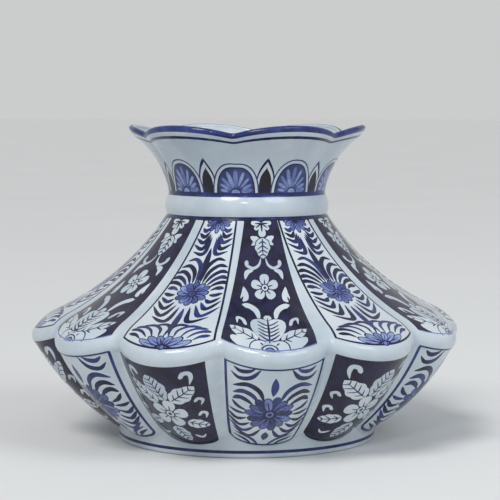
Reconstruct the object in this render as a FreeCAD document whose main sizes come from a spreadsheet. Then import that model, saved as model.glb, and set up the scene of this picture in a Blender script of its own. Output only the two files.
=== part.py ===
import FreeCAD, Part
import math
import os
import Sketcher
from FreeCAD import Placement, Rotation, Vector

# A squat vase of white glazed ceramic. Its body is gathered into lobes that meet at shallow valleys,
# twelve round the body and six round the mouth. It is built from the sections that a potter throws
# or presses by themselves and then lutes together, each one a piece here.
#
# Millimetres, +Z up. The origin is on the axis, in the plane that the foot stands on.
# A valley of the body and a valley of the mouth both face -Y.

# The driving dimensions, as lengths and counts. Each note says what a size is measured from.
SIZES = [
    ("lobe_count", 12, "lobes round the body"),
    ("mouth_lobe_count", 6, "lobes round the mouth"),
    ("wall", 4.5, "wall of the body, square to its surface"),
    ("neck_wall", 4.0, "wall of the throat"),
    ("foot_radius", 74.2, "outside of the foot ring"),
    ("foot_edge_round", 1.2, "rounding of the edge that the vase stands on"),
    ("foot_band_height", 4.6, "height of the plain band of the foot"),
    ("foot_width", 11.2, "width of the ring under the foot"),
    ("cove_radius", 18.0, "hollow between the foot band and the seat"),
    ("seat_flare", 2.0, "how far the seat stands out past the foot band"),
    ("seat_height", 12.5, "height of the seat of the lower body"),
    ("ledge_width", 7.0, "ledge that carries the base disc"),
    ("base_recess", 5.0, "height of the base disc above the ground"),
    ("base_thickness", 5.0, "thickness of the base disc"),
    ("base_edge_round", 1.0, "rounding of the base disc's upper edge"),
    ("toe_inset", 1.7, "where a lobe's curve ends, inside the foot band"),
    ("toe_drop", 7.4, "where a lobe's curve ends, below the seat"),
    ("toe_width", 8.0, "level width of the wall at the toe"),
    ("toe_lobe_depth", 6.0, "depth of the valleys at the toe"),
    ("lower_height", 43.0, "lower body, from the seat to the shoulder roll"),
    ("lower_swell_radius", 140.0, "full curve of the lower body"),
    ("shoulder_radius", 121.8, "joints above and below the shoulder roll, on a lobe"),
    ("shoulder_lobe_depth", 10.0, "depth of the valleys at the shoulder"),
    ("shoulder_valley_rise", 5.5, "how far the shoulder climbs in a valley"),
    ("shoulder_joint_width", 5.5, "level width of the joints of the shoulder roll"),
    ("roll_height", 9.5, "height of the shoulder roll"),
    ("roll_radius", 6.2, "rounding of the shoulder roll"),
    ("turn_step", 8.8, "top of the shoulder's turn, inside the joint"),
    ("turn_height", 8.0, "top of the shoulder's turn, above the joint"),
    ("turn_valley_rise", 3.2, "how far the top of the turn climbs in a valley"),
    ("turn_radius", 30.0, "rounding of the shoulder's turn"),
    ("flare_radius", 152.0, "hollow curve of the upper body"),
    ("upper_height", 63.0, "upper body, from the roll to the collar"),
    ("collar_height", 13.5, "height of the collar"),
    ("collar_step", 1.8, "collar's foot, outside the neck's radius"),
    ("collar_groove", 0.7, "height of the grooves above and below the bead"),
    ("collar_bead_radius", 13.0, "rounding of the collar's bead"),
    ("neck_radius", 45.0, "outside of the neck, where it stands on the collar"),
    ("neck_height", 31.7, "neck, from the collar to the lip, on a lobe"),
    ("neck_flare_radius", 50.0, "hollow curve of the neck"),
    ("neck_spread", 19.7, "how far the neck flares out, on a lobe"),
    ("neck_lobe_depth", 6.6, "depth of the valleys at the top of the neck"),
    ("neck_valley_dip", 3.0, "how far the neck's top dips in a valley"),
    ("lip_joint_width", 4.8, "level width of the joint between neck and lip"),
    ("lip_step", 3.6, "lip's edge, outside the joint, on a lobe"),
    ("lip_height", 6.8, "height of the lip, on a lobe"),
    ("lip_lobe_depth", 6.0, "depth of the valleys at the lip"),
    ("lip_valley_dip", 4.6, "how far the lip dips in a valley"),
    ("lip_round", 1.8, "rounding of the lip's edge"),
    ("lip_roll_radius", 14.0, "bulge of the band under the lip's edge"),
]

BODY_SECTIONS = 7  # upright sections from one valley of the body to the next
MOUTH_SECTIONS = 7  # upright sections from one valley of the mouth to the next
TURN_NORMAL = (0.57, 0.82)  # outward direction of the surface at the top of the shoulder's turn

document = FreeCAD.newDocument("vase")
sheet = document.addObject("Spreadsheet::Sheet", "Sizes")
sheet.Label = "Sizes"
for row, (alias, value, note) in enumerate(SIZES, start=1):
    sheet.set(f"A{row}", alias)
    sheet.set(f"B{row}", str(value))
    sheet.set(f"C{row}", note)
    sheet.setAlias(f"B{row}", alias)
document.recompute()


class Size:
    """A length or a count: its value now, and the sheet expression that keeps it up to date."""

    def __init__(self, value, text):
        self.value = value
        self.text = text

    @staticmethod
    def of(other):
        return other if isinstance(other, Size) else Size(other, repr(other))

    def __add__(self, other):
        other = Size.of(other)
        return Size(self.value + other.value, f"({self.text} + {other.text})")

    def __sub__(self, other):
        other = Size.of(other)
        return Size(self.value - other.value, f"({self.text} - {other.text})")

    def __mul__(self, other):
        other = Size.of(other)
        return Size(self.value * other.value, f"({self.text} * {other.text})")

    def __truediv__(self, other):
        other = Size.of(other)
        return Size(self.value / other.value, f"({self.text} / {other.text})")

    def __rtruediv__(self, other):
        return Size.of(other) / self


def size(alias):
    return Size(float(sheet.get(alias)), f"Sizes.{alias}")


ZERO = Size(0.0, "0")
FRONT = Size(-90.0, "-90")  # the bearing of -Y, in degrees


# Sketches


def new_piece(label, seat):
    """A body with its own frame at the height of its seat."""
    body = document.addObject("PartDesign::Body", label)
    body.Label = label
    body.setExpression("Placement.Base.z", seat.text)
    return body


def origin_feature(body, role):
    return next(item for item in body.Origin.OriginFeatures if item.Role == role)


def new_sketch(body, name, role):
    sketch = body.newObject("Sketcher::SketchObject", name)
    sketch.AttachmentSupport = (origin_feature(body, role), [""])
    sketch.MapMode = "FlatFace"
    return sketch


def level_sketch(body, name, height):
    """A sketch in a level plane, at a height above the piece's seat."""
    sketch = new_sketch(body, name, "XY_Plane")
    sketch.setExpression("AttachmentOffset.Base.z", height.text)
    return sketch


def upright_sketch(body, name, bearing=None):
    """A sketch in a plane through the axis: x is the radius and y the height above the seat."""
    sketch = new_sketch(body, name, "XZ_Plane")
    if bearing is not None:
        sketch.AttachmentOffset = Placement(Vector(), Rotation(Vector(0, 1, 0), bearing.value))
        sketch.setExpression("AttachmentOffset.Rotation.Angle", bearing.text)
    return sketch


def arc_between(start, end, radius, turn):
    """The arc from start to end, with turn 1 for counterclockwise and -1 for clockwise."""
    chord = end - start
    half = chord.Length / 2
    side = Vector(-chord.y, chord.x, 0).normalize() * turn
    centre = start + chord / 2 + side * math.sqrt(radius**2 - half**2)
    first, last = (start, end) if turn > 0 else (end, start)
    angles = [math.atan2(p.y - centre.y, p.x - centre.x) for p in (first, last)]
    if angles[1] < angles[0]:
        angles[1] += 2 * math.pi
    return Part.ArcOfCircle(Part.Circle(centre, Vector(0, 0, 1), radius), *angles)


def place_corner(sketch, edge, vertex, corner):
    """Ties a corner's two coordinates to the sheet."""
    for kind, axis, coordinate in zip(("DistanceX", "DistanceY"), (-2, -1), corner):
        if coordinate is ZERO:
            sketch.addConstraint(Sketcher.Constraint("PointOnObject", edge, vertex, axis))
            continue
        rule = Sketcher.Constraint(kind, -1, 1, edge, vertex, coordinate.value)
        index = sketch.addConstraint(rule)
        sketch.setExpression(f"Constraints[{index}]", coordinate.text)


def draw_outline(sketch, corners, arcs):
    """A closed outline through the corners. arcs gives, for the edges that start at some of them,
    a radius and a turn, and the other edges are straight."""
    points = [Vector(x.value, y.value, 0) for x, y in corners]
    ends = []
    for index, start in enumerate(points):
        end = points[(index + 1) % len(points)]
        if index in arcs:
            radius, turn = arcs[index]
            edge = sketch.addGeometry(arc_between(start, end, radius.value, turn), False)
            ends.append((edge, 1, 2) if turn > 0 else (edge, 2, 1))
        else:
            edge = sketch.addGeometry(Part.LineSegment(start, end), False)
            ends.append((edge, 1, 2))
    for (edge, _, last), (following, first, _) in zip(ends, ends[1:] + ends[:1]):
        sketch.addConstraint(Sketcher.Constraint("Coincident", edge, last, following, first))
    for (edge, first, _), corner in zip(ends, corners):
        place_corner(sketch, edge, first, corner)
    for index, (radius, _) in arcs.items():
        rule = Sketcher.Constraint("Radius", ends[index][0], radius.value)
        rule_index = sketch.addConstraint(rule)
        sketch.setExpression(f"Constraints[{rule_index}]", radius.text)


# Features


def revolve(body, name, corners, arcs, kind="PartDesign::Revolution"):
    """A ring about the axis, added to the piece or, as a groove, taken from it."""
    sketch = upright_sketch(body, f"{name}_section")
    draw_outline(sketch, corners, arcs)
    feature = body.newObject(kind, name)
    feature.Profile = sketch
    feature.ReferenceAxis = (sketch, ["V_Axis"])
    feature.Angle = 360
    body.Tip = feature
    return feature


def lobed_ring(body, name, count, sections, outline_at):
    """A ring of lobes. One lobe is lofted through upright sections, from the valley that faces -Y
    to the next, and repeated round the axis. outline_at gives the corners and arcs of a section
    for its swell, which is 1 on the lobe and 0 in a valley."""
    step = 360 / count
    sketches = []
    for index in range(sections):
        share = index / (sections - 1)
        sketch = upright_sketch(body, f"{name}_{index + 1}", FRONT + step * share)
        draw_outline(sketch, *outline_at(1 - (2 * share - 1) ** 2))
        sketches.append(sketch)
    loft = body.newObject("PartDesign::AdditiveLoft", f"{name}_lobe")
    loft.Profile = sketches[0]
    loft.Sections = sketches[1:]
    loft.Ruled = False
    pattern = body.newObject("PartDesign::PolarPattern", f"{name}_lobes")
    pattern.Originals = [loft]
    pattern.Axis = (origin_feature(body, "Z_Axis"), [""])
    pattern.Angle = 360
    pattern.setExpression("Occurrences", count.text)
    body.Tip = pattern


def body_ring(body, name, outline_at):
    """A ring of the body's lobes."""
    lobed_ring(body, name, size("lobe_count"), BODY_SECTIONS, outline_at)


def mouth_ring(body, name, outline_at):
    """A ring of the mouth's lobes."""
    lobed_ring(body, name, size("mouth_lobe_count"), MOUTH_SECTIONS, outline_at)


# The heights of the seats, from the ground up

lower_seat = size("seat_height")
roll_seat = lower_seat + size("lower_height")
upper_seat = roll_seat + size("roll_height")
collar_seat = upper_seat + size("upper_height")
neck_seat = collar_seat + size("collar_height")
lip_seat = neck_seat + size("neck_height")

# Radii that two pieces share

foot_inner = size("foot_radius") - size("foot_width")
base_radius = foot_inner + size("ledge_width")
seat_radius = size("foot_radius") + size("seat_flare")
collar_radius = size("neck_radius") + size("collar_step")
throat_radius = size("neck_radius") - size("neck_wall")


def make_foot_ring():
    """The ring that the vase stands on, with a ledge inside for the base disc and, on top, the
    hollow-sided seat of the lower body."""
    body = new_piece("foot_ring", ZERO)
    edge = size("foot_edge_round")
    corners = [
        (foot_inner, ZERO),
        (size("foot_radius") - edge, ZERO),
        (size("foot_radius"), edge),
        (size("foot_radius"), size("foot_band_height")),
        (seat_radius, size("seat_height")),
        (base_radius, size("seat_height")),
        (base_radius, size("base_recess")),
        (foot_inner, size("base_recess")),
    ]
    revolve(body, "ring", corners, {1: (edge, 1), 3: (size("cove_radius"), -1)})
    return body


def make_base_disc():
    """The floor of the vase, let into the foot ring from above."""
    body = new_piece("base_disc", size("base_recess"))
    sketch = level_sketch(body, "disc_section", ZERO)
    circle = Part.Circle(Vector(), Vector(0, 0, 1), base_radius.value)
    edge = sketch.addGeometry(circle, False)
    sketch.addConstraint(Sketcher.Constraint("Coincident", edge, 3, -1, 1))
    index = sketch.addConstraint(Sketcher.Constraint("Radius", edge, base_radius.value))
    sketch.setExpression(f"Constraints[{index}]", base_radius.text)
    pad = body.newObject("PartDesign::Pad", "disc")
    pad.Profile = sketch
    pad.setExpression("Length", size("base_thickness").text)
    body.Tip = pad
    document.recompute()
    top = max(range(len(pad.Shape.Edges)), key=lambda i: pad.Shape.Edges[i].CenterOfMass.z)
    fillet = body.newObject("PartDesign::Fillet", "disc_edge")
    fillet.Base = (pad, [f"Edge{top + 1}"])
    fillet.setExpression("Radius", size("base_edge_round").text)
    body.Tip = fillet
    return body


def shoulder_joint(swell):
    """Outer radius of the joints of the shoulder roll, and how far they climb above a lobe's."""
    valley = 1 - swell
    radius = size("shoulder_radius") - size("shoulder_lobe_depth") * valley
    return radius, size("shoulder_valley_rise") * valley


def make_lower_body():
    """The lobed bowl. Its valleys stand on the foot ring's seat, and its lobes come down over the
    seat's hollow side."""
    body = new_piece("lower_body", lower_seat)

    def outline_at(swell):
        toe = size("foot_radius") - size("toe_inset") - size("toe_lobe_depth") * (1 - swell)
        toe_level = ZERO - size("toe_drop")
        rim, rise = shoulder_joint(swell)
        rim_level = size("lower_height") + rise
        corners = [
            (toe - size("toe_width"), toe_level),
            (toe, toe_level),
            (rim, rim_level),
            (rim - size("shoulder_joint_width"), rim_level),
        ]
        swell_radius = size("lower_swell_radius")
        return corners, {1: (swell_radius, 1), 3: (swell_radius - size("wall"), -1)}

    body_ring(body, "bowl", outline_at)
    ground = ZERO - size("seat_height")
    seat = [
        (ZERO, ground),
        (size("foot_radius"), ground),
        (size("foot_radius"), size("foot_band_height") - size("seat_height")),
        (seat_radius, ZERO),
        (ZERO, ZERO),
    ]
    revolve(body, "seat", seat, {2: (size("cove_radius"), -1)}, "PartDesign::Groove")
    return body


def make_shoulder_roll():
    """The rounded, scalloped band that covers the joint between the two halves of the body."""
    body = new_piece("shoulder_roll", roll_seat)

    def outline_at(swell):
        radius, rise = shoulder_joint(swell)
        inner = radius - size("shoulder_joint_width")
        top = rise + size("roll_height")
        corners = [(inner, rise), (radius, rise), (radius, top), (inner, top)]
        return corners, {1: (size("roll_radius"), 1)}

    body_ring(body, "roll", outline_at)
    return body


def make_upper_body():
    """The hollow-sided cone of shallow lobes that rises from the shoulder to the collar. Its valleys
    die out on the way up."""
    body = new_piece("upper_body", upper_seat)

    def outline_at(swell):
        edge, rise = shoulder_joint(swell)
        turn = edge - size("turn_step")
        turn_level = size("turn_height") + size("turn_valley_rise") * (1 - swell)
        out, up = TURN_NORMAL
        corners = [
            (edge - size("shoulder_joint_width"), rise),
            (edge, rise),
            (turn, turn_level),
            (collar_radius, size("upper_height")),
            (throat_radius, size("upper_height")),
            (turn - size("wall") * out, turn_level - size("wall") * up),
        ]
        arcs = {
            1: (size("turn_radius"), 1),
            2: (size("flare_radius"), -1),
            4: (size("flare_radius") + size("wall"), 1),
        }
        return corners, arcs

    body_ring(body, "cone", outline_at)
    return body


def make_neck_collar():
    """The ring between body and neck: a rounded bead between two grooves."""
    body = new_piece("neck_collar", collar_seat)
    groove = size("collar_groove")
    corners = [
        (throat_radius, ZERO),
        (collar_radius, ZERO),
        (collar_radius - groove, groove),
        (size("neck_radius"), size("collar_height") - groove),
        (size("neck_radius"), size("collar_height")),
        (throat_radius, size("collar_height")),
    ]
    revolve(body, "collar", corners, {2: (size("collar_bead_radius"), 1)})
    return body


def lip_joint(swell):
    """Outer radius of the joint between neck and lip, and how far it dips below a lobe's."""
    valley = 1 - swell
    radius = size("neck_radius") + size("neck_spread") - size("neck_lobe_depth") * valley
    return radius, size("neck_valley_dip") * valley


def make_flared_neck():
    """The neck, round where it stands on the collar and lobed at the top."""
    body = new_piece("flared_neck", neck_seat)

    def outline_at(swell):
        radius, dip = lip_joint(swell)
        top = size("neck_height") - dip
        corners = [
            (throat_radius, ZERO),
            (size("neck_radius"), ZERO),
            (radius, top),
            (radius - size("lip_joint_width"), top),
        ]
        flare = size("neck_flare_radius")
        return corners, {1: (flare, -1), 3: (flare + size("neck_wall"), 1)}

    mouth_ring(body, "neck", outline_at)
    return body


def make_mouth_lip():
    """The thickened, waving edge of the mouth."""
    body = new_piece("mouth_lip", lip_seat)

    def outline_at(swell):
        joint, dip = lip_joint(swell)
        widest = size("neck_radius") + size("neck_spread") + size("lip_step")
        edge = widest - size("lip_lobe_depth") * (1 - swell)
        top = size("lip_height") - size("lip_valley_dip") * (1 - swell)
        fillet = size("lip_round")
        corners = [
            (joint - size("lip_joint_width"), ZERO - dip),
            (joint, ZERO - dip),
            (edge, top - fillet),
            (edge - fillet, top),
            (edge - fillet * 2, top - fillet),
        ]
        return corners, {1: (size("lip_roll_radius"), 1), 2: (fillet, 1), 3: (fillet, 1)}

    mouth_ring(body, "lip", outline_at)
    return body


def check_document():
    """Stops if any object of the document failed to compute."""
    for item in document.Objects:
        if "Invalid" in item.State or "Error" in item.State:
            raise RuntimeError(f"{item.Label} did not compute: {item.State}")


pieces = [
    make_foot_ring(),
    make_base_disc(),
    make_lower_body(),
    make_shoulder_roll(),
    make_upper_body(),
    make_neck_collar(),
    make_flared_neck(),
    make_mouth_lip(),
]
document.recompute()
check_document()
for piece in pieces:
    if piece.Shape.isNull() or not piece.Shape.isValid():
        raise RuntimeError(f"{piece.Label} is not a valid solid")

os.makedirs("parts", exist_ok=True)
for piece in pieces:
    piece.Shape.exportStep(os.path.join("parts", f"{piece.Label}.step"))
    box = piece.Shape.BoundBox
    solids = len(piece.Shape.Solids)
    print(f"{piece.Label}: {solids} solid, z {box.ZMin:.2f} to {box.ZMax:.2f}, x {box.XMax:.2f}")
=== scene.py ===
import math
import random
from collections import namedtuple

import bpy
import numpy as np
from mathutils.geometry import delaunay_2d_cdt
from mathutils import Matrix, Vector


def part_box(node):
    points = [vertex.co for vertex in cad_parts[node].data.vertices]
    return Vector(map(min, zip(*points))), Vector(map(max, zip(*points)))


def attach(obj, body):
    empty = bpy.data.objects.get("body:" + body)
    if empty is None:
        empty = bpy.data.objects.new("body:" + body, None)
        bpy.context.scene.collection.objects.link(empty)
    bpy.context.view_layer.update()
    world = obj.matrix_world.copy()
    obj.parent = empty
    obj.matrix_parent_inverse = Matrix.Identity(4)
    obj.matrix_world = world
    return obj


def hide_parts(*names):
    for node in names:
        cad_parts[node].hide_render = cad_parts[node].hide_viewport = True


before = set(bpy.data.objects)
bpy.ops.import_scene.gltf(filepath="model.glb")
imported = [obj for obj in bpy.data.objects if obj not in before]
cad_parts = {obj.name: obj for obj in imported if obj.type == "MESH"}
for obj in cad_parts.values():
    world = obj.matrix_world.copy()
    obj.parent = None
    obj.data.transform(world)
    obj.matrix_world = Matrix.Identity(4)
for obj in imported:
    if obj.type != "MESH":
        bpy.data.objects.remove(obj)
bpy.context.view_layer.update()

# A lobed vase of white glazed ceramic, painted in blue under the glaze. Each section of the vase is
# rebuilt as one closed mesh: its outside follows the same arcs as the CAD section, with the valleys
# softened by the glaze, and the brushwork is cut into that surface, one material to each colour.
#
# Lengths are in millimetres until a mesh is made. Angles are in degrees round the axis, from -Y
# towards +X, and both the body and the mouth have a valley at angle 0.

MM = 0.001


# ---------------------------------------------------------------------------------------------
# Sizes. Heights and reaches come from the CAD sections, and the rest shapes the walls between them.


def levels(node):
    """Lowest and highest point of a CAD section."""
    low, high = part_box(node)
    return low[2] / MM, high[2] / MM


def reach(node):
    """The largest radius of a CAD section."""
    points = np.array([v.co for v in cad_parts[node].data.vertices])
    return np.hypot(points[:, 0], points[:, 1]).max() / MM


LOBES = 12
MOUTH_LOBES = 6

ROLL_LOW, _ = levels("shoulder_roll")
CONE_LOW, CONE_HIGH = levels("upper_body")
COLLAR_LOW, COLLAR_HIGH = levels("neck_collar")
_, NECK_HIGH = levels("flared_neck")
_, LIP_HIGH = levels("mouth_lip")
FOOT_LOW, SEAT_HIGH = levels("foot_ring")
FLOOR_LOW, _ = levels("base_disc")

SHOULDER = reach("upper_body")
SHOULDER_DEPTH = 10.0
SHOULDER_RISE = 5.5
SHOULDER_JOINT = 5.5
ROLL_RADIUS = 6.2

TURN_STEP = 8.8
TURN_RISE = 8.0
TURN_VALLEY_RISE = 3.2
TURN_RADIUS = 30.0
FLARE_RADIUS = 152.0
WALL = 4.5
TURN_INWARD = np.array([0.57, 0.82])  # straight into the wall from the turn of the shoulder

BOWL_RADIUS = 140.0
TOE_RADIUS = 72.5
TOE_DEPTH = 6.0
TOE_LEVEL = 5.1
TOE_WIDTH = 8.0

COLLAR_STEP = 1.8
COLLAR_GROOVE = 0.7
BEAD_RADIUS = 13.0

NECK = 45.0
NECK_WALL = 4.0
THROAT = NECK - NECK_WALL
NECK_TOP = reach("flared_neck")
NECK_DEPTH = 6.6
NECK_DIP = 3.0
NECK_FLARE = 50.0
LIP_JOINT = 4.8

LIP_EDGE = NECK_TOP + 3.6
LIP_DEPTH = 6.0
LIP_DIP = 4.6
LIP_ROUND = 1.8
LIP_ROLL = 14.0

SEAT = reach("foot_ring")
FOOT = SEAT - 2.0
FOOT_INNER = FOOT - 11.2
FLOOR_RADIUS = reach("base_disc")
FOOT_ROUND = 1.2
FOOT_BAND = 4.6
COVE_RADIUS = 18.0

SOFT_BODY = 0.06  # share of half a lobe that the glaze softens beside a valley
SOFT_MOUTH = 0.08

# The painted sections reach a little way round the shoulder roll, as shares of its round side.
ROLL_UNDER_CONE = 0.13
ROLL_OVER_BOWL = 0.70


# ---------------------------------------------------------------------------------------------
# Surfaces. A point of an upright section is (radius, height), and arrays of points are (n, 2).


def section_points(radius, height):
    radius, height = np.broadcast_arrays(radius, height)
    return np.column_stack([radius, height]).astype(float)


def corner(valley, radius, level, depth=0.0, rise=0.0):
    """A corner of a section, for valley shares. A valley takes it in by depth and up by rise."""
    return section_points(radius - depth * valley, level + rise * valley)


def inward(points, width):
    """Points of a section, moved level towards the axis."""
    return points - np.array([width, 0])


def around(flat, angle):
    """Turns points of upright sections to their angles."""
    turn = np.radians(angle)
    return np.column_stack([flat[:, 0] * np.sin(turn), -flat[:, 0] * np.cos(turn), flat[:, 1]])


def valley_share(angle, lobes, soft):
    """0 on a lobe and rising to nearly 1 in a valley, where it levels out."""
    across = np.abs(np.asarray(angle) * lobes / 360 % 1 * 2 - 1)
    start = 1 - soft
    past = np.maximum(across - start, 0)
    return np.where(across < start, across**2, start**2 + 2 * start * (past - past**2 / soft / 2))


def arc_centre(start, end, radius, turn):
    """Centres of the arcs from start to end. turn is 1 for counterclockwise."""
    chord = end - start
    length = np.hypot(chord[:, 0], chord[:, 1])
    side = np.column_stack([-chord[:, 1], chord[:, 0]]) / length[:, None] * turn
    return start + chord / 2 + side * np.sqrt(radius**2 - length**2 / 4)[:, None]


def arc(start, end, radius, turn, share):
    """Points at the given shares of the arcs from start to end."""
    centre = arc_centre(start, end, radius, turn)
    length = np.hypot(*(end - start).T)
    first = np.arctan2(start[:, 1] - centre[:, 1], start[:, 0] - centre[:, 0])
    angle = first + turn * 2 * np.arcsin(length / 2 / radius) * share
    return centre + radius * np.column_stack([np.cos(angle), np.sin(angle)])


def arc_rows(start, end, radius, turn, count):
    """Rows of points from start to end, for the inside of a wall."""
    return [arc(start, end, radius, turn, share) for share in np.linspace(0, 1, count)]


def arc_length(start, end, radius):
    return 2 * radius * math.asin(math.dist(start, end) / 2 / radius)


class Wall:
    """The outside of a ring of lobes: arcs that run down from its top edge to its bottom edge.
    corners_at gives the arcs' ends for an array of valley shares."""

    def __init__(self, lobes, soft, corners_at, arcs):
        self.lobes = lobes
        self.soft = soft
        self.corners_at = corners_at
        self.arcs = arcs
        lobe = [corner[0] for corner in corners_at(np.zeros(1))]
        lengths = [arc_length(a, b, radius) for a, b, (radius, _) in zip(lobe, lobe[1:], arcs)]
        self.length = sum(lengths)
        self.ends = np.cumsum([0] + lengths) / self.length

    def section(self, valley, share):
        """Radius and height at shares of the way down, for valley shares."""
        valley, share = np.broadcast_arrays(np.asarray(valley, float), np.asarray(share, float))
        corners = self.corners_at(valley)
        result = np.zeros((len(share), 2))
        for index, (radius, turn) in enumerate(self.arcs):
            low, high = self.ends[index], self.ends[index + 1]
            here = (share >= low) & ((share < high) | (index == len(self.arcs) - 1))
            part = np.clip((share - low) / (high - low), 0, 1)
            piece = arc(corners[index], corners[index + 1], radius, turn, part)
            result[here] = piece[here]
        return result

    def place(self, angle, share):
        """Points in space at angles and shares of the way down."""
        angle, share = np.broadcast_arrays(np.asarray(angle, float), np.asarray(share, float))
        flat = self.section(valley_share(angle, self.lobes, self.soft), share)
        return around(flat, angle)

    def normal(self, angle, share):
        """Outward directions, from small steps along and down the surface."""
        turn_step, down_step = 0.01, 0.0005  # degrees, and a share of the way down
        low = np.clip(share - down_step, 0, 1)
        high = np.clip(share + down_step, 0, 1)
        along = self.place(angle + turn_step, share) - self.place(angle - turn_step, share)
        down = self.place(angle, high) - self.place(angle, low)
        cross = np.cross(down, along)
        return cross / np.linalg.norm(cross, axis=1)[:, None]

    def lobe_radius(self, share):
        share = np.asarray(share, float)
        return self.section(np.zeros(share.shape), share)[:, 0]


def shoulder_corner(valley, level):
    return corner(valley, SHOULDER, level, SHOULDER_DEPTH, SHOULDER_RISE)


def roll_point(valley, share):
    """A point of the shoulder roll's round side, at a share of the way down it."""
    high, low = shoulder_corner(valley, CONE_LOW), shoulder_corner(valley, ROLL_LOW)
    return arc(high, low, ROLL_RADIUS, -1, share)


def cone_corners(valley):
    turn_radius, turn_level = SHOULDER - TURN_STEP, CONE_LOW + TURN_RISE
    return [
        corner(valley, NECK + COLLAR_STEP, CONE_HIGH),
        corner(valley, turn_radius, turn_level, SHOULDER_DEPTH, TURN_VALLEY_RISE),
        shoulder_corner(valley, CONE_LOW),
        roll_point(valley, ROLL_UNDER_CONE),
    ]


def roll_corners(valley):
    return [roll_point(valley, ROLL_UNDER_CONE), roll_point(valley, ROLL_OVER_BOWL)]


def toe_corner(valley):
    return corner(valley, TOE_RADIUS, TOE_LEVEL, TOE_DEPTH)


def bowl_corners(valley):
    joint = shoulder_corner(valley, ROLL_LOW)
    return [roll_point(valley, ROLL_OVER_BOWL), joint, toe_corner(valley)]


def neck_top_corner(valley):
    return corner(valley, NECK_TOP, NECK_HIGH, NECK_DEPTH, -NECK_DIP)


def neck_corners(valley):
    return [neck_top_corner(valley), corner(valley, NECK, COLLAR_HIGH)]


def lip_corners(valley):
    rounding = ((2 * LIP_ROUND, LIP_ROUND), (LIP_ROUND, 0), (0, LIP_ROUND))
    corners = [
        corner(valley, LIP_EDGE - step, LIP_HIGH - drop, LIP_DEPTH, -LIP_DIP)
        for step, drop in rounding
    ]
    return corners + [neck_top_corner(valley)]


COVE_ENDS = np.array([[FOOT, FOOT_BAND]]), np.array([[SEAT, SEAT_HIGH]])
COVE_CENTRE = arc_centre(*COVE_ENDS, COVE_RADIUS, -1)[0]


def cove_radius_at(height):
    """Radius of the foot's hollow side."""
    rise = np.clip(height, FOOT_BAND, SEAT_HIGH) - COVE_CENTRE[1]
    return COVE_CENTRE[0] - np.sqrt(COVE_RADIUS**2 - rise**2)


class BowlWall(Wall):
    """The lower body's outside, which ends where it meets the foot's hollow side or its seat."""

    halvings = 24

    def __init__(self):
        super().__init__(LOBES, SOFT_BODY, bowl_corners, [(ROLL_RADIUS, -1), (BOWL_RADIUS, -1)])

    def section(self, valley, share):
        valley, share = np.broadcast_arrays(np.asarray(valley, float), np.asarray(share, float))
        low, high = np.zeros(valley.shape), np.ones(valley.shape)
        for _ in range(self.halvings):
            middle = (low + high) / 2
            point = super().section(valley, middle)
            inside = (point[:, 1] <= SEAT_HIGH) & (point[:, 0] <= cove_radius_at(point[:, 1]))
            high = np.where(inside, middle, high)
            low = np.where(inside, low, middle)
        return super().section(valley, share * high)


CONE_ARCS = [(FLARE_RADIUS, 1), (TURN_RADIUS, -1), (ROLL_RADIUS, -1)]
LIP_ARCS = [(LIP_ROUND, -1), (LIP_ROUND, -1), (LIP_ROLL, -1)]
CONE = Wall(LOBES, SOFT_BODY, cone_corners, CONE_ARCS)
ROLL = Wall(LOBES, SOFT_BODY, roll_corners, [(ROLL_RADIUS, -1)])
BOWL = BowlWall()
NECK_WALLS = Wall(MOUTH_LOBES, SOFT_MOUTH, neck_corners, [(NECK_FLARE, 1)])
LIP = Wall(MOUTH_LOBES, SOFT_MOUTH, lip_corners, LIP_ARCS)


# ---------------------------------------------------------------------------------------------
# Paint. A panel is drawn flat, with x across it and y down it from its top edge.

GLAZE, INK, GROUND, DEEP, WASH, PALE, EDGE, BISCUIT = range(8)

EDGE_FADE = 1.0  # distance from a sheet's top and bottom in which the hand's slips fade out
EDGE_GAP = 0.3  # what stays free of shapes there, so that the sheet joins its neighbours
PANEL_TOP = 0.3  # where the panels of the upper body start


def smooth_line(points):
    """A curve through given points."""
    steps = 6
    points = np.array(points, float)
    if len(points) == 2:
        return points[0] + (points[1] - points[0]) * np.linspace(0, 1, steps)[:, None]
    ends = np.vstack([2 * points[0] - points[1], points, 2 * points[-1] - points[-2]])
    share = np.linspace(0, 1, steps, endpoint=False)[:, None]
    pieces = []
    for a, b, c, d in zip(ends, ends[1:], ends[2:], ends[3:]):
        cubic = 2 * b + (c - a) * share + (2 * a - 5 * b + 4 * c - d) * share**2
        pieces.append((cubic + (3 * b - a - 3 * c + d) * share**3) / 2)
    return np.vstack(pieces + [points[-1:]])


def brush(points, width, fat=0.6, start=0.2, end=0.45):
    """The outline of a brush stroke along a curve. It is widest at the share fat of its length,
    and start and end are the shares of that width at its two ends."""
    line = smooth_line(points)
    run = np.gradient(line, axis=0)
    run /= np.linalg.norm(run, axis=1)[:, None]
    steps = np.linalg.norm(np.diff(line, axis=0), axis=1)
    share = np.concatenate([[0], np.cumsum(steps)]) / steps.sum()
    rising = start + (1 - start) * np.sin(np.pi / 2 * np.minimum(share / fat, 1)) ** 0.8
    past = np.clip((share - fat) / (1 - fat), 0, 1)
    falling = end + (1 - end) * np.cos(np.pi / 2 * past) ** 0.8
    half = width / 2 * np.where(share < fat, rising, falling)
    side = np.column_stack([-run[:, 1], run[:, 0]]) * half[:, None]
    first = line[:1] - run[:1] * half[0]
    last = line[-1:] + run[-1:] * half[-1]
    return np.vstack([first, line + side, last, (line - side)[::-1]])


def direction(bearing):
    """A unit step, where bearing 0 points up the panel and 90 to the right."""
    turn = math.radians(bearing)
    return np.array([math.sin(turn), -math.cos(turn)])


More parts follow.
